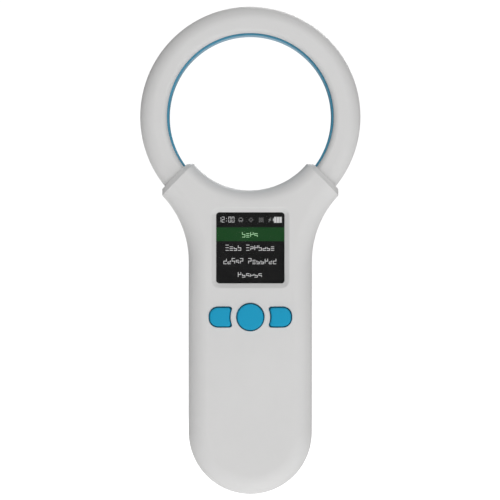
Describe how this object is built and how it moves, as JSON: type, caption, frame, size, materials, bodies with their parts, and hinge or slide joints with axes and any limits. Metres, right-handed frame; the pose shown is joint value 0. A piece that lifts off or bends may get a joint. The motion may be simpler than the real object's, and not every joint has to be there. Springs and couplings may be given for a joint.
{
  "type": "microchip scanner",
  "caption": "Handheld microchip scanner: an antenna ring on a forked handle, with a colour display and three rubber keys on the front.",
  "frame": {"origin": "centre of the handle where a hand grips it, 40 mm above the bottom tip, midway between front and back", "axes": "+Z from the handle up to the antenna ring, +Y from the display side to the back, +X to the right seen from the front"},
  "size_m": [0.0826, 0.0243, 0.1825],
  "materials": {
    "housing": "fine moulded texture, off-white",
    "blue_plastic": "satin translucent blue",
    "blue_rubber": "matte silicone",
    "clear_plastic": "clear acrylic",
    "black_foam": "matte foam",
    "display": "dark display face",
    "white_plastic": "plain moulded",
    "black_plastic": "plain moulded",
    "carbon_rubber": "matte conductive rubber",
    "gold": "gold plate",
    "board": "green solder mask",
    "steel": "plated steel",
    "copper": "enamelled copper wire",
    "polyimide": "amber film",
    "foil": "laminated foil pouch",
    "red_sleeve": "wire insulation",
    "black_sleeve": "wire insulation",
    "label": "blank satin film"
  },
  "bodies": {
    "housing": {"front_shell": "housing", "rear_shell": "housing", "ring_front_shell": "housing", "ring_rear_shell": "housing", "ring_liner": "blue_plastic", "keypad_mat": "blue_rubber", "key_web_left": "blue_rubber", "key_web_centre": "blue_rubber", "key_web_right": "blue_rubber", "screen_window": "clear_plastic", "window_adhesive": "black_foam", "display_foam": "black_foam", "battery_foam": "black_foam", "display_panel": "display", "display_tray": "white_plastic", "coil_former": "white_plastic", "battery_header": "white_plastic", "battery_plug": "white_plastic", "antenna_header": "white_plastic", "antenna_plug": "white_plastic", "controller_chip": "black_plastic", "reader_chip": "black_plastic", "memory_chip": "black_plastic", "charger_chip": "black_plastic", "buzzer": "black_plastic", "usb_socket_tongue": "black_plastic", "power_inductor": "carbon_rubber", "key_contact_left": "gold", "key_contact_centre": "gold", "key_contact_right": "gold", "main_board": "board", "radio_can": "steel", "clock_crystal": "steel", "usb_socket_shell": "steel", "case_screw_top_left": "steel", "case_screw_top_right": "steel", "case_screw_bottom_left": "steel", "case_screw_bottom_right": "steel", "antenna_coil": "copper", "antenna_lead_left": "copper", "antenna_lead_right": "copper", "display_flex": "polyimide", "battery_cell": "foil", "battery_lead_red": "red_sleeve", "battery_lead_black": "black_sleeve", "rating_label": "label"},
    "left_key": {"key_left": "blue_rubber", "carbon_pill_left": "carbon_rubber"},
    "centre_key": {"key_centre": "blue_rubber", "carbon_pill_centre": "carbon_rubber"},
    "right_key": {"key_right": "blue_rubber", "carbon_pill_right": "carbon_rubber"}
  },
  "joints": [
    {"name": "left_key_press", "type": "slide", "parent": "housing", "child": "left_key", "axis": [0, 1, 0], "range_m": [0, 0.001], "stiffness_N_per_m": 800, "springref_m": -0.0005, "deforming": ["key_web_left"]},
    {"name": "centre_key_press", "type": "slide", "parent": "housing", "child": "centre_key", "axis": [0, 1, 0], "range_m": [0, 0.001], "stiffness_N_per_m": 800, "springref_m": -0.0005, "deforming": ["key_web_centre"]},
    {"name": "right_key_press", "type": "slide", "parent": "housing", "child": "right_key", "axis": [0, 1, 0], "range_m": [0, 0.001], "stiffness_N_per_m": 800, "springref_m": -0.0005, "deforming": ["key_web_right"]}
  ]
}
